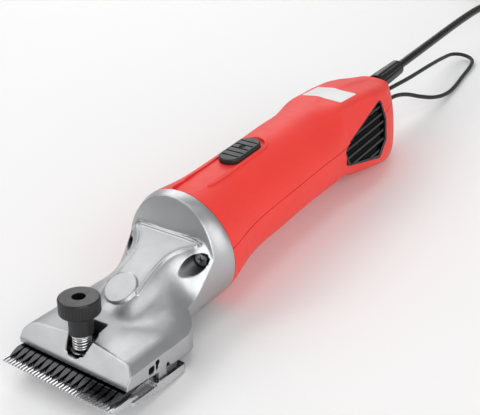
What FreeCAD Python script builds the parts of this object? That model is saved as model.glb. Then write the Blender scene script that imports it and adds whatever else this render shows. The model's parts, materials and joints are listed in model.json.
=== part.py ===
"""Mains-powered sheep shears: a hand-held clipper with a die-cast cutting head.

Millimetres.  +Z is up, and the shears lie on a table on the comb's heel and on the flat foot of the
tail.  The body's axis is level, along Y, with the teeth at -Y and the cord at +Y.  While a piece is
drawn, Y is counted from the line of the comb's tooth tips.  The finished pieces are moved back by
MIDDLE_Y, which puts the origin on the table under the middle of the shears.

Blade parts are drawn in the blade plane's own coordinates: X across, Y rearward from the tooth tips,
Z up from the comb's underside.  on_blade() tips them by BLADE_TILT about the comb's heel.
"""
import FreeCAD, Part
import math
import os

V = FreeCAD.Vector

# ---------------------------------------------------------------- driving dimensions
BLADE_TILT = 8.0          # degrees, teeth raised from the table
HEEL_Y = 58.0             # comb's heel, the front line of contact with the table
RELIEF_END_Y = 384.0      # rear end of the cord's strain relief

AXIS_Z = 36.0             # height of the motor's axis
COLLAR_R = 35.5           # round joint between head and body
COLLAR_Y = 113.7
SEAM_Z = 43.0             # parting line of the two body shells
SHELL = 2.6               # wall of the body shells

COMB_HALF = 40.5
COMB_TEETH = 35
COMB_SPAN = 77.0          # between the middles of the outer teeth
CUTTER_TEETH = 17
CUTTING_PLANE = 7.0       # top of the comb, where the cutter slides

STUD_Y = 22.2             # tension stud, in blade coordinates
STUD_R = 3.0
PIVOT_Y = 50.0            # drive arm's pivot, in blade coordinates
CRANK_Z = AXIS_Z - 17.2   # crank shaft under the motor shaft
ECCENTRICITY = 1.5

GEAR_MODULE = 0.8
PINION_TEETH = 12
GEAR_TEETH = 31
PRESSURE_ANGLE = math.radians(25)

SLIDER_Y = (155.5, 188.5)
SLIDER_HALF = 7.6

CORD_R = 3.25
CORD_EXIT_Z = 47.5
LOOP_R = 1.65

HEAD_HALF = 39.3          # half width of the head over the blades
HEAD_FRONT_Y = 12.9
UPPER_SCREW = (23.8, 41.5)      # x, z of the two upper head screws
LOWER_SCREW = (20.0, 16.0)      # x, z of the two lower ones
UPPER_SEAT_Y = 101.0      # where the screws' heads sit
LOWER_SEAT_Y = 95.0

KNOB_TOP = 47.75          # w of the tension knob's top, in blade coordinates
KNOB_R = 11.0
NECK_R = 6.6              # knob's neck
NECK_FOOT = 27.1          # w of the neck's foot
WASHER = 0.8              # thickness
ARM_TOP = 16.5            # w of the drive arm's top
FORK_GAP = 6.7            # half of the fork's gap: roller, throw and swing

MOTOR_Y = (134.0, 172.0)  # front and back of the armature's core
STATOR_R = 24.2
ARMATURE_R = 14.8
SHAFT_R = 2.5
BRUSH_Y = 187.0

CHANNEL_FLOOR = 67.9      # floor of the slider's channel
HOUSING_SCREWS = ((20.0, 224.0), (17.0, 272.0))  # x, y; one pair on each side
CLAMP_TOP = 51.6          # top of the bar that clamps the cord

COIL_CENTRE = (0.0, 706.0)  # x, y of the coiled cord
COIL_R = (22.6, 49.0)     # inner and outer
COIL_Z = (1.0, 27.4)
PLUG_Z = COIL_Z[1] + 6.85


# ---------------------------------------------------------------- small helpers
def box(x0, x1, y0, y1, z0, z1):
    return Part.makeBox(x1 - x0, y1 - y0, z1 - z0, V(x0, y0, z0))


def rod_x(r, x0, x1, y, z):
    return Part.makeCylinder(r, x1 - x0, V(x0, y, z), V(1, 0, 0))


def rod_y(r, y0, y1, x=0.0, z=AXIS_Z):
    return Part.makeCylinder(r, y1 - y0, V(x, y0, z), V(0, 1, 0))


def rod_z(r, z0, z1, x, y):
    return Part.makeCylinder(r, z1 - z0, V(x, y, z0))


def tube_y(outer, inner, y0, y1, x=0.0, z=AXIS_Z):
    return rod_y(outer, y0, y1, x, z).cut(rod_y(inner, y0 - 1, y1 + 1, x, z))


def tube_z(outer, inner, z0, z1, x, y):
    return rod_z(outer, z0, z1, x, y).cut(rod_z(inner, z0 - 1, z1 + 1, x, y))


def prism(points, direction):
    """Closed polygon of points, pushed along a direction."""
    face = Part.Face(Part.makePolygon(list(points) + [points[0]]))
    return face.extrude(direction)


def prism_x(outline, x0, x1):
    """Outline of (y, z) pairs, from x0 to x1."""
    return prism([V(x0, y, z) for y, z in outline], V(x1 - x0, 0, 0))


def prism_z(outline, z0, z1):
    """Outline of (x, y) pairs, from z0 to z1."""
    return prism([V(x, y, z0) for x, y in outline], V(0, 0, z1 - z0))


def slot_z(half, y0, y1, z0, z1):
    """Upright stadium on the middle line, round at both ends."""
    middle = box(-half, half, y0 + half, y1 - half, z0, z1)
    front = rod_z(half, z0, z1, 0, y0 + half)
    rear = rod_z(half, z0, z1, 0, y1 - half)
    return middle.multiFuse([front, rear]).removeSplitter()


def join(shapes):
    return shapes[0].multiFuse(shapes[1:]).removeSplitter()


def both_sides(shape):
    """A shape and its mirror image across the middle plane."""
    return [shape, shape.mirror(V(0, 0, 0), V(1, 0, 0))]


def on_blade(shape):
    placed = shape.copy()
    placed.translate(V(0, -HEEL_Y, 0))
    placed.rotate(V(0, 0, 0), V(1, 0, 0), -BLADE_TILT)
    placed.translate(V(0, HEEL_Y, 0))
    return placed


# ---------------------------------------------------------------- die-cast head
# Height of the head's top skin over the comb's underside.  Each row is one cut across the head at a
# distance from the tooth tips, as (distance from the middle, height) pairs out to one side.  The
# first two points of a row are the flat spine, the next two its shoulder, the rest the flank.
HEAD_TOP = (
    (6.0, ((0, 23.0), (8, 22.9), (14, 22.6), (21, 22.2), (29, 21.6), (34.5, 21.0), (38, 19.4), (46, 8))),
    (20.0, ((0, 24.4), (8, 24.2), (14, 23.9), (21, 23.4), (29, 22.8), (34.5, 22.1), (38, 20.4), (46, 9))),
    (30.0, ((0, 25.6), (7, 25.5), (12, 25.1), (19, 24.3),
            (28, 23.5), (34.5, 22.5), (38, 20.8), (46, 10))),
    (38.0, ((0, 27.5), (7, 27.2), (12, 26.3), (19, 25.0),
            (28, 23.9), (34.5, 22.8), (38, 21.1), (46, 10))),
    (42.0, ((0, 30.5), (7, 30.0), (11.5, 28.0), (18, 25.7),
            (27, 24.2), (34.5, 22.9), (38, 21.2), (46, 10))),
    (46.0, ((0, 35.4), (8, 35.0), (12, 31.8), (17.5, 27.0),
            (26, 24.7), (34, 23.1), (37.8, 21.4), (46, 10))),
    (50.0, ((0, 38.2), (9.3, 38.0), (12.5, 34.8), (17, 29.6),
            (25, 26.0), (33.5, 23.4), (37.5, 21.6), (46, 10))),
    (58.0, ((0, 42.8), (10, 42.6), (12.5, 40.0), (16.5, 34.5),
            (22.5, 29.6), (31, 25.5), (37, 22.4), (46, 12))),
    (66.0, ((0, 46.5), (9.8, 46.3), (13, 43.8), (17.5, 38.5),
            (23, 33.5), (29, 28.6), (36, 23.6), (46, 14))),
    (75.0, ((0, 50.3), (10.5, 50.1), (14, 47.4), (18.5, 41.0),
            (23, 34.6), (27, 30.2), (31.5, 26.6), (46, 12))),
    (80.0, ((0, 52.4), (12.5, 52.3), (15.5, 50.2), (19.5, 43.6),
            (23.5, 36.8), (27, 32.6), (30.5, 29.4), (46, 12))),
    (84.0, ((0, 54.1), (14.8, 54.0), (17.5, 52.3), (20.5, 48.6),
            (24, 43.2), (27, 37.8), (30.5, 32.4), (46, 12))),
    (88.0, ((0, 55.9), (18.5, 55.9), (21, 55.2), (23.4, 53.0),
            (25.5, 49.2), (28, 43.6), (30.5, 37.4), (46, 13))),
    (91.3, ((0, 57.4), (22.2, 57.4), (23.6, 57.0), (25, 55.4),
            (26.4, 52.6), (28, 48.6), (30.5, 42.2), (46, 14))),
    (96.0, ((0, 59.4), (22.6, 59.4), (24, 60.0), (25.2, 60.0),
            (26.4, 59.0), (28, 56.0), (30.5, 50.5), (46, 22))),
    (104.0, ((0, 62.8), (23.5, 63.0), (25, 65.0), (26.5, 66.0),
            (28, 66.5), (30, 66.0), (33, 62.0), (46, 40))),
)
HEAD_X = (0, 5, 9.5, 13, 16.5, 20, 23.5, 27, 30.5, 34, 38, 46)
# Outside of the neck between blades and collar: distance, half width, height over the axis and its
# squareness, depth under the axis and its squareness.
NECK = (
    (62.0, 33.0, 35.5, 2.0, 30.0, 2.6),
    (72.0, 31.5, 35.5, 2.0, 32.0, 2.7),
    (82.0, 30.3, 35.5, 1.95, 33.6, 2.7),
    (91.0, 30.0, 35.4, 1.9, 34.4, 2.6),
    (97.0, 30.6, 35.4, 1.9, 34.8, 2.45),
    (102.0, 31.8, 35.4, 1.9, 35.1, 2.25),
    (107.0, 33.6, 35.5, 1.95, 35.4, 2.1),
    (111.0, 35.1, 35.5, 2.0, 35.5, 2.0),
    (COLLAR_Y, COLLAR_R, COLLAR_R, 2.0, COLLAR_R, 2.0),
)
CROWN_R = 120.0
CROWN_CENTRE = (214.3, 19.2)    # y, z of the ball that forms the face between spine and collar


def height_at(half, x):
    """Height of a section at some distance from the middle, straight between its points."""
    for (x0, z0), (x1, z1) in zip(half, half[1:]):
        if x <= x1:
            return z0 + (z1 - z0) * (x - x0) / (x1 - x0)
    return half[-1][1]


def draped(rows):
    """Smooth surface over a net of points: it keeps inside the net, and meets its border."""
    def knots_of(count):
        spans = count - 3
        return [4] + [1] * (spans - 1) + [4], [float(i) for i in range(spans + 1)]
    v_mults, v_knots = knots_of(len(rows[0]))
    u_mults, u_knots = knots_of(len(rows))
    surface = Part.BSplineSurface()
    surface.buildFromPolesMultsKnots(rows, u_mults, v_mults, u_knots, v_knots, False, False, 3, 3)
    return surface


def space_over_head():
    """Everything above the head's top skin, in blade coordinates."""
    rows = []
    for y, half in HEAD_TOP:
        right = [V(x, y, height_at(half, x)) for x in HEAD_X]
        rows.append([V(-p.x, y, p.z) for p in reversed(right[1:])] + right)
    return draped(rows).toShape().extrude(V(0, 0, 70))


def head_block():
    """Flat fishtail that carries the blades, in blade coordinates, before its top is shaped."""
    side = HEAD_HALF
    corners = [V(-side, 8, 0), V(side, 8, 0), V(side, 57, 0), V(31.5, 71.5, 0), V(-31.5, 71.5, 0),
               V(-side, 57, 0)]
    swell = [V(side - 1.1, 65.0, 0), V(1.1 - side, 65.0, 0)]
    edges = [Part.LineSegment(corners[0], corners[1]), Part.LineSegment(corners[1], corners[2]),
             Part.Arc(corners[2], swell[0], corners[3]), Part.LineSegment(corners[3], corners[4]),
             Part.Arc(corners[4], swell[1], corners[5]), Part.LineSegment(corners[5], corners[0])]
    outline = Part.Wire([edge.toShape() for edge in edges])
    return Part.Face(outline).extrude(V(0, 0, 62))


def front_notch():
    """Opening for the tension stud and its spring: wide at the top, narrow at the lip."""
    vee = prism([V(-6.2, 8, 17), V(6.2, 8, 17), V(10.5, 8, 30), V(-10.5, 8, 30)], V(0, 14, 0))
    return [vee, rod_z(8.2, 15, 60, 0, STUD_Y), box(-6.0, 6.0, STUD_Y, 35.0, 17, 60)]


def side_windows():
    """Two small windows and a notch low on each side wall, over the comb's clip."""
    panes = [box(34, 42, 29.4, 33.6, 11.6, 15.6), box(34, 42, 34.8, 37.6, 11.8, 17.2)]
    panes.append(prism_x(((41.6, 8.0), (41.6, 10.4), (44.2, 12.0), (46.6, 8.0)), 34, 42))
    return [half for pane in panes for half in both_sides(pane)]


def head_cavities():
    """Rooms for the blade drive, cut from below and from the collar."""
    arm_room = on_blade(prism_x(((16.2, -4), (16.2, 15.6), (18.7, 19), (60, 19), (60, -4)), -34, 34))
    cutter_room = on_blade(box(-38.2, 38.2, 12, 39.0, -4, 10.6))
    crank_room = box(-12, 12, 56, 88, 9, 30)
    gear_room = [rod_y(15, 97, 110, 0, CRANK_Z), rod_y(8.5, 97, 110),
                 box(-8.5, 8.5, 97, 110, CRANK_Z, AXIS_Z)]
    plate_seat = rod_y(31, 108.7, 120)
    return [arm_room, cutter_room, crank_room, rod_y(5.0, 86, 99, 0, CRANK_Z), plate_seat] + gear_room


def head_screw_holes():
    holes = []
    for x, z, seat in (UPPER_SCREW + (UPPER_SEAT_Y,), LOWER_SCREW + (LOWER_SEAT_Y,)):
        for side in (-x, x):
            holes.append(rod_y(2.1, seat - 2, 112, side, z))
    for side in (-1, 1):
        holes.append(rod_y(5.2, 70, UPPER_SEAT_Y, side * UPPER_SCREW[0], UPPER_SCREW[1]))
        holes.append(rod_y(4.6, 82, LOWER_SEAT_Y, side * LOWER_SCREW[0], LOWER_SCREW[1]))
        pocket = side * LOWER_SCREW[0]
        holes.append(box(pocket - 4.6, pocket + 4.6, 82, LOWER_SEAT_Y, -3, LOWER_SCREW[1]))
    return holes


def thumb_pad():
    """Round pad on the spine, over the drive arm's pivot."""
    pad = Part.makeCone(9.9, 9.3, 1.0, V(0, 0, -0.35))
    pad.rotate(V(0, 0, 0), V(1, 0, 0), 31.0)
    pad.translate(V(0, 52.3, 39.4))
    return on_blade(pad)


def head_housing():
    barrel = loft_y([(row[0], grip_half(*row[1:])) for row in NECK], 0.0)
    block = on_blade(head_block())
    crown = Part.makeSphere(CROWN_R, V(0, *CROWN_CENTRE))
    over = on_blade(space_over_head()).cut(crown)
    under_blades = on_blade(prism_x(((-5, -20), (-5, 12.1), (76, 6.8), (76, -20)), -45, 45))
    under_barrel = prism_x(((60, -12), (60, 8.4), (64, 7.6), (100, 0.3), (100, -12)), -45, 45)
    bevel = on_blade(prism_x(((HEAD_FRONT_Y, 13.5), (32, 38.9), (32, 70), (0, 70), (0, 13.5)), -45, 45))
    nose = on_blade(box(-45, 45, 0, HEAD_FRONT_Y, 0, 70))
    body = barrel.fuse(block).cut([over, under_blades, under_barrel, bevel, nose])
    body = body.cut(head_cavities() + head_screw_holes())
    body = body.cut([on_blade(tool) for tool in front_notch() + side_windows()])
    stud_bar = box(-35, 35, 18.5, 26, 10.4, 12.6).cut(rod_z(STUD_R, 9, 14, 0, STUD_Y))
    inside = [on_blade(stud_bar)]
    for x in (-24, 24):
        boss = rod_z(4.5, CUTTING_PLANE, 20, x, PIVOT_Y).cut(rod_z(1.8, 5, 17, x, PIVOT_Y))
        inside.append(on_blade(boss))
    clip = box(36.7, 39.2, 36.5, 43.0, 5.0, 14.0)
    inside += [on_blade(half) for half in both_sides(clip)]
    body = body.multiFuse(inside + [thumb_pad()])
    return body.cut(on_blade(rod_z(4.0, 12, 34, 0, PIVOT_Y)))


# ---------------------------------------------------------------- blades
def comb_tooth(x):
    """One tapered tine, thinner and narrower toward its tip."""
    root = [V(x - 0.68, 15, 2.6), V(x + 0.68, 15, 2.6), V(x + 0.68, 15, CUTTING_PLANE),
            V(x - 0.68, 15, CUTTING_PLANE)]
    tip = [V(x - 0.42, 0.0, 5.6), V(x + 0.42, 0.0, 5.6), V(x + 0.42, 0.0, 6.8), V(x - 0.42, 0.0, 6.8)]
    sections = [Part.makePolygon(ring + [ring[0]]) for ring in (root, tip)]
    return Part.makeLoft(sections, True, True)


def comb():
    rails = prism_z(((-COMB_HALF, 16), (-37, 12.5), (37, 12.5), (COMB_HALF, 16), (COMB_HALF, 55),
                     (38.5, HEEL_Y), (-38.5, HEEL_Y), (-COMB_HALF, 55)), 0, 3.5)
    deck = prism_z(((-36.5, 12.5), (36.5, 12.5), (36.5, 54), (34, HEEL_Y - 1), (-34, HEEL_Y - 1),
                    (-36.5, 54)), 3.0, CUTTING_PLANE)
    guard = prism_x(((0.8, 5.4), (14.5, 2.0), (20, 2.0), (20, 5.2), (13, 7.0), (0.8, 6.6)), 37.9, 39.6)
    step = box(36.0, COMB_HALF, 33.5, 55, 3.0, 5.0)
    pitch = COMB_SPAN / (COMB_TEETH - 1)
    teeth = [comb_tooth(-COMB_SPAN / 2 + i * pitch) for i in range(COMB_TEETH)]
    body = join([rails, deck] + both_sides(guard) + both_sides(step) + teeth)
    relief = prism_x(((10, -1), (12, 2.0), (30, 0.8), (30, -1)), -45, 45)
    tools = [relief]
    for x in (-24, 24):
        tools.append(rod_z(2.1, -1, 9, x, PIVOT_Y))
        tools.append(Part.makeCone(4.2, 2.1, 2.4, V(x, PIVOT_Y, 0)))
    return on_blade(body.cut(tools))


def comb_screws():
    screws = []
    for x in (-24, 24):
        head = Part.makeCone(4.1, 2.0, 2.4, V(x, PIVOT_Y, 0))
        screw = head.fuse(rod_z(1.8, 0, 16, x, PIVOT_Y))
        screws.append(on_blade(screw.cut(box(x - 3, x + 3, PIVOT_Y - 0.5, PIVOT_Y + 0.5, -1, 1.0))))
    return Part.makeCompound(screws)


def cutter_tooth(x):
    """Leaf-shaped tooth: pointed tip, wide middle, narrow waist at the root."""
    half = ((0.35, 3.4), (1.15, 6.0), (1.75, 9.5), (1.6, 12.5), (1.15, 15.0), (1.1, 18.5))
    outline = [(x + a, y) for a, y in half] + [(x - a, y) for a, y in reversed(half)]
    leaf = prism_z(outline, CUTTING_PLANE + 0.05, 9.9)
    slope = prism_x(((2.0, 7.7), (11.5, 10.0), (11.5, 12), (2.0, 12)), x - 3, x + 3)
    return leaf.cut(slope)


def cutter():
    """Moving blade.  Two bores take the drive arm's prongs, and the middle clears the stud's bar."""
    half = 36.4
    plate = box(-half - 1.1, half + 1.1, 17.5, 35.5, CUTTING_PLANE + 0.05, 9.9)
    pitch = 2 * half / (CUTTER_TEETH - 1)
    teeth = [cutter_tooth(-half + i * pitch) for i in range(CUTTER_TEETH)]
    holes = [rod_z(2.25, 6, 11, side * 8.0, 30.0) for side in (-1, 1)]
    corner = prism_z(((half - 3.4, 36), (half + 2, 36), (half + 2, 20.5), (half + 1.1, 20.5)), 6, 11)
    return on_blade(join([plate] + teeth).cut(holes + both_sides(corner)))


# ---------------------------------------------------------------- blade tension


def tension_stud():
    stud = rod_z(STUD_R, 10.4, 40.0, 0, STUD_Y)
    return on_blade(stud.cut(rod_z(1.2, 38.6, 41, 0, STUD_Y)))


def tension_knob():
    body = join([rod_z(KNOB_R, 38.75, KNOB_TOP, 0, STUD_Y), rod_z(NECK_R, NECK_FOOT, 39, 0, STUD_Y)])
    rims = [edge for edge in body.Edges if edge.BoundBox.XLength > 2 * KNOB_R - 0.2]
    body = body.makeFillet(0.9, rims)
    bore = rod_z(STUD_R + 0.06, NECK_FOOT - 1, 45, 0, STUD_Y)
    mouth = rod_z(3.7, 39.8, KNOB_TOP + 1, 0, STUD_Y)
    flutes = []
    for i in range(40):
        angle = 2 * math.pi * i / 40
        x, y = (KNOB_R + 0.25) * math.cos(angle), STUD_Y + (KNOB_R + 0.25) * math.sin(angle)
        flutes.append(rod_z(0.5, 39.6, 46.8, x, y))
    return on_blade(body.cut([bore, mouth] + flutes))


def upper_washer():
    return on_blade(tube_z(6.2, STUD_R + 0.05, NECK_FOOT - WASHER, NECK_FOOT, 0, STUD_Y))


def lower_washer():
    return on_blade(tube_z(6.2, STUD_R + 0.05, ARM_TOP, ARM_TOP + WASHER, 0, STUD_Y))


def tension_spring():
    wire, mean, turns = 0.6, 4.75, 5
    low, high = ARM_TOP + WASHER + wire + 0.05, NECK_FOOT - WASHER - wire - 0.05
    coil = Part.makeHelix((high - low) / turns, high - low, mean)
    start = Part.Wire(Part.makeCircle(wire, V(mean, 0, 0), V(0, 1, 0)))
    spring = Part.Wire(coil).makePipeShell([start], True, True)
    spring.translate(V(0, STUD_Y, low))
    return on_blade(spring)


# ---------------------------------------------------------------- drive arm


def drive_arm():
    """Lever from the crank roller to the cutter, on the pivot post."""
    nose = prism_z(((-8, 17.6), (8, 17.6), (11, 22), (11.5, 33), (7, 44), (7, 56), (10, 62), (10, 77.5),
                    (-10, 77.5), (-10, 62), (-7, 56), (-7, 44), (-11.5, 33), (-11, 22)), 13.0, ARM_TOP)
    hub = rod_z(8.0, 13.0, 18.4, 0, PIVOT_Y)
    tines = both_sides(box(FORK_GAP, 10, 70.5, 77.5, 13, 28))
    body = join([nose, hub] + tines)
    under_roller = box(-FORK_GAP, FORK_GAP, 69, 79, 15.2, 30)
    stud_slot = rod_z(4.8, 12, 18, 0, STUD_Y)
    prong_holes = [rod_z(2.2, 12, ARM_TOP - 1.0, side * 8.0, 30.0) for side in (-1, 1)]
    post = rod_z(4.05, 12, 20, 0, PIVOT_Y)
    return on_blade(body.cut([under_roller, stud_slot, post] + prong_holes))


def arm_prongs():
    return Part.makeCompound([on_blade(rod_z(2.2, 7.6, ARM_TOP - 1.0, side * 8.0, 30.0))
                              for side in (-1, 1)])


def pivot_post():
    """Post pressed into the head's roof, with a collar that holds the arm up."""
    return on_blade(join([rod_z(4.0, 12.2, 34, 0, PIVOT_Y), rod_z(6.5, 11.0, 12.9, 0, PIVOT_Y)]))


# ---------------------------------------------------------------- gears and crank
def gear_outline(teeth, y):
    """Involute spur gear with stub teeth and a little backlash, as a wire in the plane Y = y."""
    pitch_r = GEAR_MODULE * teeth / 2
    base_r = pitch_r * math.cos(PRESSURE_ANGLE)
    tip_r, root_r = pitch_r + 0.8 * GEAR_MODULE, pitch_r - 1.05 * GEAR_MODULE
    low_r = max(base_r, root_r)
    half_tooth = math.pi / (2 * teeth) - 0.05 / pitch_r
    involute = math.tan(PRESSURE_ANGLE) - PRESSURE_ANGLE
    flank = []
    for step in range(6):
        r = low_r + (tip_r - low_r) * step / 5
        a = math.acos(min(1.0, base_r / r))
        flank.append((r, half_tooth + involute - (math.tan(a) - a)))
    points = []
    for i in range(teeth):
        middle = 2 * math.pi * i / teeth
        tooth = [(root_r, middle - flank[0][1])] + [(r, middle - a) for r, a in flank]
        tooth += [(r, middle + a) for r, a in reversed(flank)] + [(root_r, middle + flank[0][1])]
        points += [V(r * math.sin(a), y, r * math.cos(a)) for r, a in tooth]
    return Part.makePolygon(points + [points[0]])


def gear(teeth, y0, y1, z, turn=0.0):
    solid = Part.Face(gear_outline(teeth, y0)).extrude(V(0, y1 - y0, 0))
    solid.rotate(V(0, 0, 0), V(0, 1, 0), turn)
    solid.translate(V(0, 0, z))
    return solid


def motor_pinion():
    """A tooth gap points straight down, at the gear."""
    pinion = gear(PINION_TEETH, 98.5, 106.5, AXIS_Z, 180.0 / PINION_TEETH)
    return pinion.cut(rod_y(2.5, 97, 108))


def drive_gear():
    """A tooth points straight up, into the pinion's gap."""
    wheel = gear(GEAR_TEETH, 99.5, 105.5, CRANK_Z)
    lighten = []
    for i in range(6):
        angle = math.radians(60 * i + 30)
        lighten.append(rod_y(2.0, 98, 107, 8.0 * math.sin(angle), CRANK_Z + 8.0 * math.cos(angle)))
    return wheel.cut([rod_y(3.5, 98, 107, 0, CRANK_Z)] + lighten)


def crank_shaft():
    shaft = rod_y(3.5, 87.0, 112.5, 0, CRANK_Z)
    disc = rod_y(8.2, 84.0, 87.5, 0, CRANK_Z)
    pin = rod_y(2.0, 72.0, 85.0, 0, CRANK_Z + ECCENTRICITY)
    return join([shaft, disc, pin])


def crank_roller():
    return tube_y(3.4, 2.0, 72.5, 83.0, 0, CRANK_Z + ECCENTRICITY)


def crank_bushes():
    front = tube_y(5.0, 3.55, 88.0, 94.0, 0, CRANK_Z)
    rear = tube_y(5.0, 3.55, 108.7, 112.7, 0, CRANK_Z)
    return Part.makeCompound([front, rear])


def gear_plate():
    """Plate between head and motor: front motor bearing, rear crank bush, four screw holes."""
    plate = join([rod_y(31.0, 108.7, COLLAR_Y), rod_y(13.0, 110, 117.0)])
    tools = [rod_y(9.5, 110.5, 118), rod_y(4.2, 107, 119), rod_y(5.0, 107, 112.7, 0, CRANK_Z)]
    for x, z in (UPPER_SCREW, LOWER_SCREW):
        tools += [rod_y(2.1, 107, 118, side * x, z) for side in (-1, 1)]
    return plate.cut(tools)


def head_screws():
    screws = []
    for x, z, seat in (UPPER_SCREW + (UPPER_SEAT_Y,), LOWER_SCREW + (LOWER_SEAT_Y,)):
        for side in (-x, x):
            head = rod_y(4.0, seat - 3.2, seat, side, z)
            cross = [box(side - 2.2, side + 2.2, seat - 4, seat - 1.8, z - 0.5, z + 0.5),
                     box(side - 0.5, side + 0.5, seat - 4, seat - 1.8, z - 2.2, z + 2.2)]
            screws.append(head.cut(cross).fuse(rod_y(2.0, seat - 1, 124, side, z)))
    return Part.makeCompound(screws)


# ---------------------------------------------------------------- motor


def motor_shaft():
    return rod_y(SHAFT_R, 97.5, 206.0)


def armature_core():
    core = rod_y(ARMATURE_R, MOTOR_Y[0] + 1, MOTOR_Y[1] - 1)
    slots = []
    for i in range(12):
        slot = box(-1.4, 1.4, MOTOR_Y[0], MOTOR_Y[1], AXIS_Z + 8.0, AXIS_Z + ARMATURE_R + 1)
        slot.rotate(V(0, 0, AXIS_Z), V(0, 1, 0), 30 * i)
        slots.append(slot)
    return core.cut(slots + [rod_y(SHAFT_R, 130, 180)])


def armature_windings():
    """Copper end turns in front of and behind the core."""
    ends = []
    for y0, y1 in ((MOTOR_Y[0] - 4.5, MOTOR_Y[0] + 1), (MOTOR_Y[1] - 1, MOTOR_Y[1] + 5)):
        ring = tube_y(13.2, 5.0, y0, y1)
        outer = [edge for edge in ring.Edges if edge.BoundBox.XLength > 26]
        ends.append(ring.makeFillet(2.0, outer))
    return Part.makeCompound(ends)


def winding_collars():
    """Insulating sleeves on the shaft, under the end turns."""
    front = tube_y(5.0, SHAFT_R, MOTOR_Y[0] - 5, MOTOR_Y[0] + 1)
    rear = tube_y(5.0, SHAFT_R, MOTOR_Y[1] - 1, MOTOR_Y[1] + 6)
    return Part.makeCompound([front, rear])


def commutator():
    drum = tube_y(10.0, SHAFT_R, 180.0, 193.0)
    riser = tube_y(11.2, SHAFT_R, 179.0, 181.0)
    grooves = []
    for i in range(24):
        groove = box(-0.25, 0.25, 178, 194, AXIS_Z + 9.2, AXIS_Z + 12)
        groove.rotate(V(0, 0, AXIS_Z), V(0, 1, 0), 15 * i)
        grooves.append(groove)
    return join([drum, riser]).cut(grooves)


def cooling_fan():
    disc = rod_y(19.4, 126.0, 127.4)
    hub = rod_y(6.0, 119.0, 127.4)
    blades = []
    for i in range(11):
        blade = box(-0.7, 0.7, 119.0, 126.5, AXIS_Z + 8.0, AXIS_Z + 19.6)
        blade.rotate(V(0, 0, AXIS_Z + 8.0), V(0, 1, 0), 24)
        blade.rotate(V(0, 0, AXIS_Z), V(0, 1, 0), 360.0 * i / 11)
        blades.append(blade)
    return join([disc, hub] + blades).cut(rod_y(SHAFT_R, 115, 130))


def stator_core():
    """Two-pole lamination stack with room for a coil on each side of each pole."""
    core = rod_y(STATOR_R, *MOTOR_Y).cut(rod_y(15.5, MOTOR_Y[0] - 1, MOTOR_Y[1] + 1))
    windows = []
    for side in (-1, 1):
        for up in (-1, 1):
            x0, x1 = sorted((side * 12.0, side * 19.8))
            z0, z1 = sorted((AXIS_Z + up * 1.5, AXIS_Z + up * 12.0))
            windows.append(box(x0, x1, MOTOR_Y[0] - 1, MOTOR_Y[1] + 1, z0, z1))
    return core.cut(windows)


def field_coils():
    """One copper coil over and one under the armature, through the stator's windows."""
    coils = []
    for up in (-1, 1):
        z0, z1 = sorted((AXIS_Z + up * 2.0, AXIS_Z + up * 11.6))
        outer = box(-19.5, 19.5, MOTOR_Y[0] - 5, MOTOR_Y[1] + 5, z0, z1)
        inner = box(-15.9, 15.9, MOTOR_Y[0] - 1, MOTOR_Y[1] + 1, z0 - 1, z1 + 1)
        coils.append(outer.cut([inner, rod_y(15.9, MOTOR_Y[0] - 6, MOTOR_Y[1] + 6)]))
    return Part.makeCompound([solid for coil in coils for solid in coil.Solids])


def carbon_brushes():
    face = rod_y(10.05, 180, 194)
    return Part.makeCompound([half for half in both_sides(
        box(9.0, 20.0, BRUSH_Y - 3.5, BRUSH_Y + 3.5, AXIS_Z - 2.5, AXIS_Z + 2.5).cut(face))])


def brush_holders():
    """Square brass guides for the brushes."""
    guide = box(12.5, 25.8, BRUSH_Y - 4.6, BRUSH_Y + 4.6, AXIS_Z - 3.6, AXIS_Z + 3.6)
    guide = guide.cut(box(12, 25.0, BRUSH_Y - 3.52, BRUSH_Y + 3.52, AXIS_Z - 2.52, AXIS_Z + 2.52))
    return Part.makeCompound(both_sides(guide))


def brush_springs():
    """Compression springs behind the brushes, drawn as their outer sleeves."""
    spring = rod_x(1.9, 20.05, 24.95, BRUSH_Y, AXIS_Z).cut(rod_x(1.2, 20, 25, BRUSH_Y, AXIS_Z))
    return Part.makeCompound(both_sides(spring))


def motor_bearings():
    """Shielded ball bearings of the motor shaft."""
    front = tube_y(9.5, SHAFT_R + 0.05, 110.6, 116.6)
    rear = tube_y(8.0, SHAFT_R + 0.05, 198.5, 203.5)
    return Part.makeCompound([front, rear])


def rear_bracket():
    """Plastic end plate: rear bearing, and arms that carry the brush guides."""
    plate = join([rod_y(STATOR_R, 196.0, 198.4), rod_y(11.0, 197, 205.0)])
    arms = []
    for side in (-1, 1):
        x0, x1 = sorted((side * 13.0, side * 26.2))
        arms.append(box(x0, x1, 181.5, 196.5, AXIS_Z - 6.4, AXIS_Z + 6.4))
    bracket = join([plate] + arms)
    tools = [rod_y(8.0, 198.5, 206), rod_y(4.0, 190, 206)]
    for side in (-1, 1):
        x0, x1 = sorted((side * 12.0, side * 27.0))
        tools.append(box(x0, x1, BRUSH_Y - 4.6, BRUSH_Y + 4.6, AXIS_Z - 3.6, AXIS_Z + 3.6))
    for up in (-1, 1):
        tools.append(rod_y(4.5, 190, 200, 0, AXIS_Z + up * 18.0))
    return bracket.cut(tools)


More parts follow.
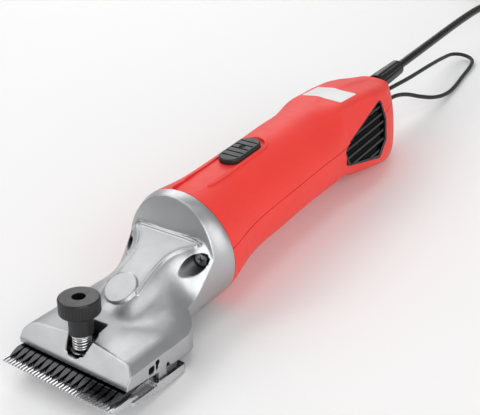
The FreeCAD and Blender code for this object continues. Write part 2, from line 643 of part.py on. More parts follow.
# ---------------------------------------------------------------- body shells
# Outside of the grip: distance, half width, height over the axis and its squareness, depth under
# the axis and its squareness.
GRIP = (
    (COLLAR_Y, 35.4, 35.4, 2.0, 35.4, 2.0),
    (118.0, 35.0, 35.0, 2.0, 34.8, 2.0),
    (126.0, 33.6, 34.1, 2.0, 32.6, 2.0),
    (136.0, 31.6, 33.3, 2.03, 29.8, 2.0),
    (148.0, 30.3, 33.1, 2.05, 27.6, 2.0),
    (170.0, 30.0, 33.1, 2.05, 27.0, 2.0),
    (200.0, 30.0, 33.0, 2.05, 27.0, 2.0),
    (225.0, 30.1, 32.7, 2.1, 27.0, 2.05),
    (243.0, 30.3, 32.4, 2.15, 27.5, 2.1),
)
GRIP_ANGLES = (90, 67, 45, 23, 4, -20, -43, -66, -90)
# Outside of the tail: distance, then (x, z) from the top middle over the ridge, down the flat side,
# round the foot to the bottom middle.
TAIL = (
    (258.0, ((0, 68.0), (11, 67.0), (20, 64.4), (25.4, 55), (28.6, 43.5),
            (30.6, 32), (27.6, 21.5), (17, 13), (0, 9.5))),
    (272.0, ((0, 66.9), (11, 66.0), (20.3, 63.4), (24.6, 53), (28.4, 42),
            (32, 29.5), (30.6, 20.2), (20, 10), (0, 6.5))),
    (286.0, ((0, 65.2), (11, 64.4), (20.8, 62), (24.8, 51.5), (28.8, 40.5),
            (33.2, 27.5), (34.0, 19.2), (24, 9.0), (0, 4))),
    (298.0, ((0, 63.4), (11, 62.7), (20.8, 60.6), (24.8, 50.5), (28.8, 39),
            (33.2, 26), (33.6, 15.2), (24.5, 6.2), (0, 2))),
    (309.0, ((0, 61.4), (10.5, 60.8), (20.5, 59), (24.4, 50.5), (27.9, 40.5),
            (31.2, 26), (30.8, 11.5), (24, 3.0), (0, 0.4))),
    (317.0, ((0, 59.6), (10.5, 59.0), (19.9, 57.3), (23.8, 49), (26.7, 40),
            (28.9, 27), (28.4, 10), (22.8, 0.8), (0, -0.5))),
    (324.0, ((0, 58.0), (10, 57.4), (18.9, 55.7), (22.8, 48), (25.0, 39.5),
            (26.4, 27), (25.4, 11), (20, 1.4), (0, -0.5))),
    (331.0, ((0, 56.4), (9, 55.8), (17, 53.9), (20.5, 47), (22.2, 38.5),
            (23, 27), (21.8, 13.5), (17, 4.4), (0, 1.5))),
    (338.0, ((0, 55.2), (7.8, 54.6), (14, 52.4), (16.8, 46), (18, 38),
            (18.4, 27.5), (17.2, 16), (13, 8.8), (0, 6.6))),
    (344.5, ((0, 54.4), (6, 53.8), (10.4, 51.4), (12.2, 45), (13, 38),
            (13.2, 28.5), (12.4, 19.5), (9, 13.8), (0, 12))),
    (350.0, ((0, 53.8), (4.4, 53.1), (7.2, 50.6), (8, 44), (8.4, 37.5),
            (8.4, 29.5), (7.8, 23), (5.4, 18), (0, 17))),
)
FACET_LEAN = math.radians(19.0)  # the tail's flat sides lean in toward the top
FACET_REACH = 40.0              # their distance from the table's middle line
FACET_NORMAL = V(math.cos(FACET_LEAN), 0, math.sin(FACET_LEAN))
FACET_UP = V(-math.sin(FACET_LEAN), 0, math.cos(FACET_LEAN))


def grip_half(half, top, top_square, bottom, bottom_square):
    """Right half of a grip section, as (x, z) pairs from top to bottom."""
    points = []
    for degrees in GRIP_ANGLES:
        c, s = math.cos(math.radians(degrees)), math.sin(math.radians(degrees))
        reach, square = (top, top_square) if s >= 0 else (bottom, bottom_square)
        r = (abs(c / half) ** square + abs(s / reach) ** square) ** (-1.0 / square)
        points.append((r * c if abs(degrees) != 90 else 0.0, AXIS_Z + r * s))
    return points


def grown(half, growth):
    """A half section moved out along its normals, or in if growth is negative."""
    moved = []
    last = len(half) - 1
    for i, (x, z) in enumerate(half):
        before = half[i - 1] if i else (-half[1][0], half[1][1])
        after = half[i + 1] if i < last else (-half[last - 1][0], half[last - 1][1])
        dx, dz = after[0] - before[0], after[1] - before[1]
        length = math.hypot(dx, dz)
        moved.append((x - growth * dz / length, z + growth * dx / length))
    return moved


def loft_y(stations, growth):
    """Smooth skin through half sections at stations along Y, grown or shrunk by a wall's thickness."""
    wires = []
    for y, half in stations:
        right = grown(half, growth)
        ring = [V(x, y, z) for x, z in right] + [V(-x, y, z) for x, z in reversed(right[1:-1])]
        curve = Part.BSplineCurve()
        curve.interpolate(ring, PeriodicFlag=True)
        wires.append(Part.Wire(curve.toShape()))
    return Part.makeLoft(wires, True, False)


def body_loft(growth, last_y=TAIL[-1][0]):
    """Skin of the whole body, grown or shrunk; a hollow ends short of the tail's end."""
    stations = [(row[0], grip_half(*row[1:])) for row in GRIP] + list(TAIL)
    stations[-1] = (last_y, stations[-1][1])
    return loft_y(stations, growth)


def facet_slab(reach, y0, y1):
    """Block outside a plane that lies along the right flat side, at some distance."""
    base = FACET_NORMAL * reach
    corners = [base + FACET_UP * up + V(0, y, 0) for up, y in ((-40, y0), (75, y0), (75, y1), (-40, y1))]
    return prism(corners, FACET_NORMAL * 30)


def facet_cuts():
    """Space outside the two flat sides of the tail."""
    return both_sides(facet_slab(FACET_REACH, 256, 316))


def slider_channel():
    return slot_z(8.3, 112, 192.4, CHANNEL_FLOOR, 80)


def channel_rails():
    """Raised lips along the slide switch's channel."""
    return slot_z(9.8, 124, 193.9, 64, 69.75)


VENT_OUTLINE = ((309, 54.5), (308.6, 40), (301, 27.5), (286, 20.0), (249, 30.2), (248, 41.0))


def vent_prism(outline, out, depth, radius):
    """Vent outline on the right flat side, as a block reaching out and in from the flat."""
    normal = FACET_NORMAL
    points = []
    for y, z in outline:
        x = (FACET_REACH - normal.z * z) / normal.x
        points.append(V(x, y, z) + normal * out)
    block = prism(points, normal * -(out + depth))
    upright = []
    for edge in block.Edges:
        span = (edge.Vertexes[0].Point - edge.Vertexes[-1].Point).dot(normal)
        if abs(span) > out + depth - 0.001:
            upright.append(edge)
    return block.makeFillet(radius, upright)


def shrunk_outline(outline, gap):
    """An outline moved in by a gap along the line to its middle."""
    my = sum(y for y, z in outline) / len(outline)
    mz = sum(z for y, z in outline) / len(outline)
    moved = []
    for y, z in outline:
        reach = math.hypot(y - my, z - mz)
        moved.append((y - (y - my) * gap / reach, z - (z - mz) * gap / reach))
    return moved


def vent_grille():
    """Black insert on the right side: a rim and long slanted louvres behind it."""
    plug = vent_prism(VENT_OUTLINE, 0.0, 4.0, 3.0)
    opening = vent_prism(shrunk_outline(VENT_OUTLINE, 2.2), 2.0, 6.0, 2.0)
    rim = plug.cut(opening)
    louvres = []
    for i in range(10):
        low = FACET_NORMAL * (FACET_REACH - 3.9) + FACET_UP * (-7.5 + 5.3 * i)
        high = low + FACET_UP * 2.8 + FACET_NORMAL * 3.2
        corners = [low, low + FACET_UP * 1.5, high + FACET_UP * 1.5, high]
        louvre = prism([corner + V(0, 244, 0) for corner in corners], V(0, 70, 0))
        louvres.append(louvre.common(plug))
    return join([rim] + [louvre for louvre in louvres if louvre.Volume > 1.0])


def vent_filter():
    """Foam pad behind the right grille, which keeps dust and wool out; the screw post notches it."""
    pad = vent_prism(shrunk_outline(VENT_OUTLINE, 0.4), -4.0, 5.4, 2.6)
    x, y = HOUSING_SCREWS[1]
    return pad.cut(rod_z(5.2, 10, 70, x, y))


def end_slab(inward):
    """Everything behind the tail's leaning end face, moved in by a wall's thickness."""
    outline = ((329.0 - inward, 90), (350.0 - inward, 26), (400, 26), (400, 90))
    return prism_x(outline, -60, 60)


def seam_groove():
    """Shallow line around the outside where the two shells meet."""
    inset = body_loft(-0.5, TAIL[-1][0] - 0.5)
    inset = inset.cut(both_sides(facet_slab(FACET_REACH - 0.5, 254, 318)) + [end_slab(0.5)])
    return box(-60, 60, 100, 360, SEAM_Z - 0.25, SEAM_Z + 0.25).cut(inset)


def body_shell():
    """Hollow body with the channel, the flat sides and every opening, not yet parted."""
    outer = body_loft(0.0)
    rails = channel_rails().common(body_loft(0.9))
    below_table = box(-60, 60, 250, 340, -10, 0)
    skin = outer.fuse(rails).cut(facet_cuts() + [slider_channel(), below_table, end_slab(0)])
    skin = skin.cut(seam_groove())
    inner = body_loft(-SHELL, TAIL[-1][0] - SHELL)
    hollow = inner.cut(facet_wall() + [end_slab(SHELL)])
    hollow = hollow.cut(slot_z(10.6, 100, 195, CHANNEL_FLOOR - 1.4, 80))
    shell = skin.cut(hollow)
    openings = both_sides(vent_prism(VENT_OUTLINE, 3.0, 12.0, 3.0))
    cord_hole = rod_y(5.0, 336, 352, 0, CORD_EXIT_Z)
    cord_hole = cord_hole.fuse(rod_y(5.9, 330, 338.0, 0, CORD_EXIT_Z))
    stem_slot = box(-3.2, 3.2, 158.0, 180.0, 60, 80)
    loop_holes = [rod_y(LOOP_R + 0.6, 336, 352, 0, z) for z in (LOOP_HIGH_Z - 0.3, LOOP_LOW_Z)]
    return shell.cut(openings + [cord_hole, stem_slot] + loop_holes)


def facet_wall():
    """Solid band left inside the flat sides, so that the wall keeps its thickness there."""
    return both_sides(facet_slab(FACET_REACH - SHELL, 253, 319))


def stator_saddles(z0, z1):
    """Ribs that hold the stator, between two heights."""
    ribs = []
    for y in (138.0, 165.0):
        disc = rod_y(31.0, y, y + 3.0).cut(rod_y(STATOR_R, y - 1, y + 4))
        ribs.append(disc.common(box(-40, 40, y - 1, y + 4, z0, z1)))
    plate = rod_y(31.0, 198.4, 201.0).cut(rod_y(22.0, 198, 202))
    ribs.append(plate.common(box(-40, 40, 198, 202, z0, z1)))
    return ribs


def head_screw_bosses():
    """Bosses for the four head screws, each joined to the lower shell's wall."""
    bosses = []
    for x, z in (UPPER_SCREW, LOWER_SCREW):
        boss = tube_y(4.0, 2.0, COLLAR_Y + 0.2, 124.8, x, z)
        web = box(x + 2.5, 36, COLLAR_Y + 0.2, 124.8, z - 2.5, z + 1.3)
        bosses += both_sides(boss.fuse(web))
    return bosses


def inside_body(shapes):
    """Ribs and bosses, trimmed to end inside the shell's wall."""
    inner = body_loft(-0.8)
    return [shape.common(inner) for shape in shapes]


def upper_housing(shell):
    half = shell.common(box(-60, 60, 100, 360, SEAM_Z, 90))
    posts = [rod_z(4.2, SEAM_Z, 62, side * x, y) for x, y in HOUSING_SCREWS for side in (-1, 1)]
    ribs = stator_saddles(SEAM_Z, AXIS_Z + 19) + posts
    body = half.multiFuse(inside_body(ribs))
    holes = [rod_z(1.5, SEAM_Z - 1, 56, side * x, y) for x, y in HOUSING_SCREWS for side in (-1, 1)]
    return body.cut(holes)


def lower_housing(shell):
    half = shell.common(box(-60, 60, 100, 360, -10, SEAM_Z))
    posts = [rod_z(4.6, 2, SEAM_Z, side * x, y) for x, y in HOUSING_SCREWS for side in (-1, 1)]
    floor_posts = [box(-8, 8, y, y + 5, 2, z) for y, z in ((240.5, 44), (254.5, 44))]
    floor_posts = [post.common(box(-60, 60, 100, 360, -10, SEAM_Z)) for post in floor_posts]
    ribs = stator_saddles(-10, SEAM_Z) + posts + floor_posts
    ribs += [box(-9, 9, 279, 283, 1, 30), box(-9, 9, 291, 295, 1, 30)]
    ribs += [box(-14, 14, 323, 331, 1, SEAM_Z)]
    body = half.multiFuse(inside_body(ribs + head_screw_bosses()))
    tools = []
    for x, y in HOUSING_SCREWS:
        for side in (-1, 1):
            tools.append(rod_z(1.7, 0, SEAM_Z + 1, side * x, y))
            tools.append(rod_z(3.4, -5, 30.0, side * x, y))
    tools.append(rod_y(CORD_R + 0.1, 300, 340, 0, CORD_EXIT_Z))
    return body.cut(tools)


def housing_screws():
    screws = []
    for x, y in HOUSING_SCREWS:
        for side in (-1, 1):
            head = rod_z(3.0, 27.6, 30.0, side * x, y)
            cross = box(side * x - 1.8, side * x + 1.8, y - 0.4, y + 0.4, 27, 28.6)
            screws.append(head.cut(cross).fuse(rod_z(1.5, 29, 54, side * x, y)))
    return Part.makeCompound(screws)


def label_plate():
    """Blank rating label on the tail's top, following its curve."""
    window = box(-15.5, 15.5, 267.0, 289.0, 50, 90)
    upright = [edge for edge in window.Edges if edge.BoundBox.ZLength > 30]
    window = window.makeFillet(1.5, upright)
    return body_loft(0.3).cut(body_loft(0.0)).common(window)


# ---------------------------------------------------------------- switch
def switch_slider():
    """Ribbed thumb slide at the rear, the off position, with its stem through the shell."""
    floor = CHANNEL_FLOOR + 0.2
    pad = slot_z(SLIDER_HALF, *SLIDER_Y, floor, 71.4)
    rims = [edge for edge in pad.Edges if edge.BoundBox.ZMin > 71.3]
    pad = pad.makeFillet(1.0, rims)
    grooves = []
    middle = sum(SLIDER_Y) / 2
    for i in range(-2, 3):
        grooves.append(box(-6.4, 6.4, middle + 5.0 * i - 0.6, middle + 5.0 * i + 0.6, 70.4, 73))
    dimple = Part.makeSphere(2.6, V(0, middle + 2.5, 72.9))
    stem = box(-2.8, 2.8, 168.6, 179.6, 63.6, floor + 1)
    return join([pad.cut(grooves + [dimple]), stem])


def switch_rod():
    """Flat link from the slide back to the switch, under the upper shell."""
    bar = box(-3.5, 3.5, 166.0, 246.0, 61.6, 63.6)
    finger = box(-3.5, 3.5, 243.0, 246.0, 58.4, 62.0)
    return join([bar, finger])


def switch_body():
    case = box(-9, 9, 239, 261, 43.0, 58.0)
    feet = box(-11.5, 11.5, 243, 257, 43.0, 45.0)
    return join([case, feet])


def suppressor():
    """Interference capacitor on the floor behind the motor."""
    case = box(-11, 11, 206.5, 214.5, 14.0, 34.0)
    return case


def terminal_block():
    block = box(-9, 9, 278, 296, 30, 39)
    wells = [rod_z(2.2, 36, 40, x, y) for x in (-5, 5) for y in (282, 292)]
    return block.cut(wells)


def cord_clamp():
    """Saddle that pins the cord to the lower shell."""
    bar = box(-11, 11, 324, 330, SEAM_Z, CLAMP_TOP).cut(rod_y(CORD_R, 320, 335, 0, CORD_EXIT_Z))
    return bar.cut([rod_z(1.6, 40, 60, side * 7.8, 327) for side in (-1, 1)])


def clamp_screws():
    screws = []
    for side in (-1, 1):
        shank = rod_z(1.6, SEAM_Z, CLAMP_TOP + 1, side * 7.8, 327)
        screws.append(rod_z(2.6, CLAMP_TOP, CLAMP_TOP + 1.2, side * 7.8, 327).fuse(shank))
    return Part.makeCompound(screws)


# ---------------------------------------------------------------- cord and hanging loop
def strain_relief():
    """Tapered rubber sleeve with long flutes and a flange inside the tail."""
    flange = rod_y(5.9, 334.5, 338.0, 0, CORD_EXIT_Z)
    neck = rod_y(5.0, 337.0, 346.0, 0, CORD_EXIT_Z)
    taper = Part.makeCone(6.9, 6.1, 35.8, V(0, 345.2, CORD_EXIT_Z), V(0, 1, 0))
    tip = Part.makeCone(6.1, 4.3, 3.0, V(0, 381.0, CORD_EXIT_Z), V(0, 1, 0))
    body = join([flange, neck, taper, tip])
    flutes = []
    for i in range(8):
        angle = math.radians(45 * i + 22.5)
        x, z = 7.5 * math.cos(angle), CORD_EXIT_Z + 7.5 * math.sin(angle)
        flutes.append(rod_y(1.5, 349.0, 379.5, x, z))
    return body.cut(flutes + [rod_y(CORD_R, 330, 390, 0, CORD_EXIT_Z)])


def loop_anchor():
    """Pin inside the tail that both ends of the hanging loop are tied to."""
    return rod_z(1.6, 24.0, 41.0, 0, LOOP_ROUTE[0][1] - 1.6)


def tube(points, radius, name):
    """Round tube along straight runs joined by tangent arcs, each as large as its two runs allow."""
    corners = [V(*point) for point in points]
    edges, radii, start = [], [], corners[0]
    for before, corner, after in zip(corners, corners[1:], corners[2:]):
        back, ahead = before - corner, after - corner
        reach = 0.45 * min(back.Length, ahead.Length)
        half_turn = (math.pi - back.getAngle(ahead)) / 2
        bend = reach / math.tan(half_turn)
        back.normalize()
        ahead.normalize()
        inward = back + ahead
        inward.normalize()
        middle = corner + inward * (bend / math.cos(half_turn) - bend)
        edges.append(Part.LineSegment(start, corner + back * reach).toShape())
        edges.append(Part.Arc(corner + back * reach, middle, corner + ahead * reach).toShape())
        start = corner + ahead * reach
        radii.append(bend)
    edges.append(Part.LineSegment(start, corners[-1]).toShape())
    path = Part.Wire(edges)
    section = Part.Wire(Part.makeCircle(radius, corners[0], corners[1] - corners[0]))
    solid = path.makePipeShell([section], True, False)
    print("%s: length %.1f, volume %.0f of %.0f, radii %s" % (
        name, path.Length, solid.Volume, path.Length * math.pi * radius ** 2, [round(r) for r in radii]))
    return solid


# Mains cord, from inside the tail to the coil: level out of the sleeve, then down to the table.
CORD_ROUTE = (
    (0, 322, CORD_EXIT_Z), (0, RELIEF_END_Y, CORD_EXIT_Z), (0, 538, 44), (9, 596, 27), (34, 640, 10),
    (45.7, 672, 4.3), (45.7, 706, 4.3),
)
# Its end, from the top of the coil to the plug.
TAIL_ROUTE = (
    (-45.7, 712, 24.1), (-45.7, 693.8, 25.6), (-33.3, 672.7, 29), (-14.9, 662, 30.7), (3.4, 662, 30.7),
    (19.1, 671.2, 31.2), (28.3, 687, 32.6), (28.3, 706, 34.2),
)
# Hanging loop: out of the tail, down to the table and back.
LOOP_ROUTE = (
    (0, 342, 37.5), (0, 376, 33.6), (-0.8, 406, 29.4), (-3.2, 440, 25.0), (-7.6, 474, 19.6),
    (-12, 503, 14.2), (-15, 524, 9.2), (-5.5, 531, 6.0), (5.5, 527, 2.8), (9, 509, 2.0), (11, 488, 1.75),
    (14, 468, 1.75), (15.4, 447, 2.2), (13, 427, 6), (7.4, 410, 12.6), (1.8, 394, 20.6), (0, 373, 26.2),
    (0, 342, 28.5),
)
LOOP_HIGH_Z = LOOP_ROUTE[0][2]
LOOP_LOW_Z = LOOP_ROUTE[-1][2]


def power_cord():
    return tube(CORD_ROUTE, CORD_R, "power_cord")


def cord_tail():
    return tube(TAIL_ROUTE, CORD_R, "cord_tail")


def coil_ring(growth):
    """Ring around the coil's turns, with rounded edges."""
    inner, outer = COIL_R[0] - growth, COIL_R[1] + growth
    low, high = COIL_Z[0] - growth, COIL_Z[1] + growth
    ring = tube_z(outer, inner, low, high, *COIL_CENTRE)
    rims = [edge for edge in ring.Edges if edge.BoundBox.ZLength < 0.1]
    return ring.makeFillet(2.5, rims)


def cord_coil():
    """Outer shape of the coiled mains cord, four layers of three turns."""
    return coil_ring(0.0)


def cord_tie():
    """Band around the coil's bundle."""
    x, y = COIL_CENTRE
    slab = box(x, x + 60, y - 5, y + 5, -2, 40)
    slab.rotate(V(x, y, 0), V(0, 0, 1), 110)
    return coil_ring(0.9).cut(coil_ring(0.0)).common(slab)


def plug_body():
    """Flat two-pin plug with a short sleeve, lying on the coil."""
    x, y, _ = TAIL_ROUTE[-1]
    sleeve = Part.makeCone(4.2, 5.6, 15.0, V(x, y - 2, PLUG_Z), V(0, 1, 0))
    outline = ((-9, y + 12.5), (9, y + 12.5), (17.6, y + 28), (17.6, y + 40), (13.5, y + 48.5),
               (-13.5, y + 48.5), (-17.6, y + 40), (-17.6, y + 28))
    body = prism_z([(x + dx, at) for dx, at in outline], PLUG_Z - 6.85, PLUG_Z + 6.85)
    body = body.makeFillet(2.0, body.Edges)
    return join([body, sleeve]).cut(rod_y(CORD_R, y - 4, y + 0.05, x, PLUG_Z))


def plug_pins():
    """Round pins with rounded tips, leaning slightly toward each other."""
    x, y, _ = TAIL_ROUTE[-1]
    pin = rod_y(2.0, y + 48.5, y + 66.0, x + 9.3, PLUG_Z)
    tip = Part.makeSphere(2.0, V(x + 9.3, y + 66.0, PLUG_Z))
    pins = []
    for side in (-1, 1):
        leaned = pin.fuse(tip)
        leaned.translate(V((side - 1) * 9.3, 0, 0))
        leaned.rotate(V(x + side * 9.3, y + 48.5, PLUG_Z), V(0, 0, 1), side * 1.5)
        pins.append(leaned)
    return Part.makeCompound(pins)


def rod_between(r, start, end):
    along = V(*end) - V(*start)
    return Part.makeCylinder(r, along.Length, V(*start), along)


def core_wires():
    """Two cores of the mains cord, from its end to the terminal block."""
    return Part.makeCompound([rod_between(1.1, (side * 1.5, 321.5, CORD_EXIT_Z), (side * 5.0, 293, 39.6))
                              for side in (-1, 1)])


def hang_loop():
    return tube(LOOP_ROUTE, LOOP_R, "hang_loop")


def loop_crimp():
    """Metal sleeve on the loop's upper branch, close to the tail."""
    start, end = V(*LOOP_ROUTE[0]), V(*LOOP_ROUTE[1])
    along = (end - start).normalize()
    sleeve = Part.makeCylinder(2.5, 8.0, start + along * 8.0, along)
    return sleeve.cut(Part.makeCylinder(LOOP_R, 40.0, start, along))


PARTS = {}


def build():
    shell = body_shell()
    PARTS.update({
        "head_housing": head_housing(),
        "comb": comb(),
        "comb_screws": comb_screws(),
        "cutter": cutter(),
        "tension_stud": tension_stud(),
        "tension_knob": tension_knob(),
        "upper_washer": upper_washer(),
        "lower_washer": lower_washer(),
        "tension_spring": tension_spring(),
        "drive_arm": drive_arm(),
        "arm_prongs": arm_prongs(),
        "pivot_post": pivot_post(),
        "motor_pinion": motor_pinion(),
        "drive_gear": drive_gear(),
        "crank_shaft": crank_shaft(),
        "crank_roller": crank_roller(),
        "crank_bushes": crank_bushes(),
        "gear_plate": gear_plate(),
        "head_screws": head_screws(),
        "motor_shaft": motor_shaft(),
        "armature_core": armature_core(),
        "armature_windings": armature_windings(),
        "winding_collars": winding_collars(),
        "commutator": commutator(),
        "cooling_fan": cooling_fan(),
        "stator_core": stator_core(),
        "field_coils": field_coils(),
        "carbon_brushes": carbon_brushes(),
        "brush_holders": brush_holders(),
        "brush_springs": brush_springs(),
        "motor_bearings": motor_bearings(),
        "rear_bracket": rear_bracket(),
        "upper_housing": upper_housing(shell),
        "lower_housing": lower_housing(shell),
        "housing_screws": housing_screws(),
        "vent_grille_right": vent_grille(),
        "vent_filter_right": vent_filter(),
        "label_plate": label_plate(),
        "switch_slider": switch_slider(),
        "switch_rod": switch_rod(),
        "switch_body": switch_body(),
        "suppressor": suppressor(),
        "terminal_block": terminal_block(),
        "cord_clamp": cord_clamp(),
        "clamp_screws": clamp_screws(),
        "strain_relief": strain_relief(),
        "power_cord": power_cord(),
        "cord_coil": cord_coil(),
        "cord_tail": cord_tail(),
        "cord_tie": cord_tie(),
        "plug_body": plug_body(),
        "plug_pins": plug_pins(),
        "core_wires": core_wires(),
        "hang_loop": hang_loop(),
        "loop_crimp": loop_crimp(),
        "loop_anchor": loop_anchor(),
    })
    for piece in ("vent_grille", "vent_filter"):
        PARTS[piece + "_left"] = PARTS[piece + "_right"].mirror(V(0, 0, 0), V(1, 0, 0))


def export():
    front = PARTS["comb"].optimalBoundingBox().YMin
    middle = (front + RELIEF_END_Y) / 2
    print("middle", round(middle, 3))
    for name, shape in PARTS.items():
        placed = shape.copy()
        placed.translate(V(0, -middle, 0))
        placed.exportStep("parts/" + name + ".step")
        valid = all(solid.isValid() for solid in placed.Solids)
        b = placed.BoundBox
        print("%-20s solids %2d valid %s vol %8.0f  x %.1f %.1f y %.1f %.1f z %.1f %.1f" % (
            name, len(placed.Solids), valid, placed.Volume, b.XMin, b.XMax, b.YMin + middle, b.YMax + middle,
            b.ZMin, b.ZMax))


os.makedirs("parts", exist_ok=True)
build()
export()
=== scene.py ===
"""Looks for the sheep shears: materials, soft cast edges, spring, cord, floor, light and camera.

Everything is in the part's own frame, in metres.  part.py counts Y from the comb's tooth tips, in mm,
and moves its finished pieces back by MIDDLE; at() does the same to a point.
"""

import json
import math

import bmesh
import bpy
from mathutils import Matrix, Vector


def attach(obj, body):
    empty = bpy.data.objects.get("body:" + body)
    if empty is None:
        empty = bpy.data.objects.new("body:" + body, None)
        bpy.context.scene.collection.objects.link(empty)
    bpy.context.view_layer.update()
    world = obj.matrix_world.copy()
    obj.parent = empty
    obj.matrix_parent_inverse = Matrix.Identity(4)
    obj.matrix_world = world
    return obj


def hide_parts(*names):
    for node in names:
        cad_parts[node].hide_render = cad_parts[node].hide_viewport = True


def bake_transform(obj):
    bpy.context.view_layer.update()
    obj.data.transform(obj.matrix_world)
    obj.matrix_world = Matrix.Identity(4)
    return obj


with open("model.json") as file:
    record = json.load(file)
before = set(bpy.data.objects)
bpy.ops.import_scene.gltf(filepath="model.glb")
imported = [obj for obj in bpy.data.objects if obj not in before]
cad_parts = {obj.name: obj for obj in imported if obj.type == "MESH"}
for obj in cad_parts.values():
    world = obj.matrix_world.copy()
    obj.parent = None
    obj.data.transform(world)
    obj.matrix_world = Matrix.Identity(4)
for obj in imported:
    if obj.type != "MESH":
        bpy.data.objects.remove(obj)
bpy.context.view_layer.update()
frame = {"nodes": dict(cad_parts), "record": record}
scene = bpy.context.scene

MM = 0.001
MIDDLE = 192.672                      # mm from the tooth tips to the row's origin
BLADE_TILT = math.radians(8.0)
HEEL_Y = 58.0
STUD_Y = 22.2                         # tension stud, in blade coordinates


def at(x, y, z):
    """A point of part.py, y from the tooth tips in mm, in the row frame in metres."""
    return Vector((x * MM, (y - MIDDLE) * MM, z * MM))


def on_blade(x, y, w):
    """A point in blade coordinates, in the row frame."""
    c, s = math.cos(BLADE_TILT), math.sin(BLADE_TILT)
    return at(x, HEEL_Y + (y - HEEL_Y) * c + w * s, w * c - (y - HEEL_Y) * s)


def add(name, data):
    obj = bpy.data.objects.new(name, data)
    scene.collection.objects.link(obj)
    return obj


# ---------------------------------------------------------------- camera
LENS, SENSOR = 64.0, 36.0
EYE = Vector((0.2876, -0.3875, 0.3029))
HEADING, PITCH, ROLL = 38.49, 30.37, -5.44  # degrees: to the left of +Y, downward, about the view


def place_camera():
    data = bpy.data.cameras.new("camera")
    data.lens = LENS
    data.sensor_width = SENSOR
    data.sensor_fit = "HORIZONTAL"
    data.clip_start = 0.01
    turns = Matrix.Rotation(math.radians(HEADING), 4, "Z")
    turns = turns @ Matrix.Rotation(math.radians(90 - PITCH), 4, "X")
    turns = turns @ Matrix.Rotation(math.radians(ROLL), 4, "Z")
    camera = add("camera", data)
    camera.matrix_world = Matrix.Translation(EYE) @ turns
    scene.camera = camera


place_camera()


# ---------------------------------------------------------------- materials
class Look:
    """A Principled material, built up one effect at a time from object coordinates."""

    def __init__(self, name, colour, rough, metal=0.0, **sockets):
        self.material = bpy.data.materials.new(name)
        self.material.use_nodes = True
        self.tree = self.material.node_tree
        self.shader = self.tree.nodes["Principled BSDF"]
        self.place = self.node("ShaderNodeTexCoord").outputs["Object"]
        self.colour = None
        self.rough = None
        self.normal = None
        self.shader.inputs["Base Color"].default_value = (*colour, 1)
        self.shader.inputs["Roughness"].default_value = rough
        self.shader.inputs["Metallic"].default_value = metal
        for socket, value in sockets.items():
            self.shader.inputs[socket.replace("_", " ")].default_value = value

    def node(self, kind, **values):
        node = self.tree.nodes.new(kind)
        for key, value in values.items():
            setattr(node, key, value)
        return node

    def link(self, source, target):
        self.tree.links.new(source, target)

    def stretched(self, scale):
        mapping = self.node("ShaderNodeMapping")
        mapping.inputs["Scale"].default_value = scale
        self.link(self.place, mapping.inputs["Vector"])
        return mapping.outputs["Vector"]

    def noise(self, scale, detail=3.0, stretch=(1, 1, 1)):
        node = self.node("ShaderNodeTexNoise")
        node.inputs["Scale"].default_value = scale
        node.inputs["Detail"].default_value = detail
        self.link(self.stretched(stretch), node.inputs["Vector"])
        return node.outputs["Fac"]

    def stripes(self, scale, axis="Y", distortion=0.0):
        node = self.node("ShaderNodeTexWave", wave_type="BANDS", bands_direction=axis)
        node.inputs["Scale"].default_value = scale
        node.inputs["Distortion"].default_value = distortion
        self.link(self.place, node.inputs["Vector"])
        return node.outputs["Fac"]

    def recess(self, reach):
        """1 in the open, towards 0 in corners and gaps."""
        node = self.node("ShaderNodeAmbientOcclusion", samples=8)
        node.inputs["Distance"].default_value = reach
        return node.outputs["AO"]

    def edge(self, radius):
        """0 on flats, towards 1 on sharp edges."""
        bevel = self.node("ShaderNodeBevel", samples=4)
        bevel.inputs["Radius"].default_value = radius
        flat = self.node("ShaderNodeNewGeometry").outputs["Normal"]
        dot = self.node("ShaderNodeVectorMath", operation="DOT_PRODUCT")
        self.link(bevel.outputs["Normal"], dot.inputs[0])
        self.link(flat, dot.inputs[1])
        return self.span(dot.outputs["Value"], 1.0, 0.8, 0.0, 1.0)

    def span(self, value, low, high, new_low, new_high):
        """The value, taken from low..high to new_low..new_high and held there."""
        node = self.node("ShaderNodeMapRange")
        for index, number in enumerate((low, high, new_low, new_high)):
            node.inputs[index + 1].default_value = number
        self.link(value, node.inputs["Value"])
        return node.outputs["Result"]

    def tint(self, mask, colour):
        """Where mask is 1, the base colour turns to this one."""
        mix = self.node("ShaderNodeMix", data_type="RGBA")
        if self.colour is None:
            mix.inputs["A"].default_value = self.shader.inputs["Base Color"].default_value
        else:
            self.link(self.colour, mix.inputs["A"])
        mix.inputs["B"].default_value = (*colour, 1)
        self.link(mask, mix.inputs["Factor"])
        self.colour = mix.outputs["Result"]
        return self

    def clouds(self, scale, colour, start, full, share, detail=3.0):
        """Patches of another colour where the noise goes from start to full, share of it at most."""
        return self.tint(self.span(self.noise(scale, detail), start, full, 0.0, share), colour)

    def paint_recess_shade(self, reach, colour, full, clear, share):
        """Painted shade: another colour in recesses, where shade falls; share of it where recess() is
        full, none where it is clear.
        """
        return self.tint(self.span(self.recess(reach), full, clear, share, 0.0), colour)

    def rub(self, radius, colour, share):
        """Another colour on sharp edges, where hands and tables rub them."""
        return self.tint(self.span(self.edge(radius), 0.2, 1.0, 0.0, share), colour)

    def roughen(self, mask, low, high):
        """Roughness from low to high over the middle half of the mask."""
        self.rough = self.span(mask, 0.25, 0.75, low, high)
        return self

    def bump(self, height, distance):
        """Height of distance metres from the mask, over any bump so far."""
        node = self.node("ShaderNodeBump")
        node.inputs["Strength"].default_value = 1.0
        node.inputs["Distance"].default_value = distance
        self.link(height, node.inputs["Height"])
        if self.normal is not None:
            self.link(self.normal, node.inputs["Normal"])
        self.normal = node.outputs["Normal"]
        return self

    def done(self):
        for value, socket in ((self.colour, "Base Color"), (self.rough, "Roughness"),
                              (self.normal, "Normal")):
            if value is not None:
                self.link(value, self.shader.inputs[socket])
        return self.material


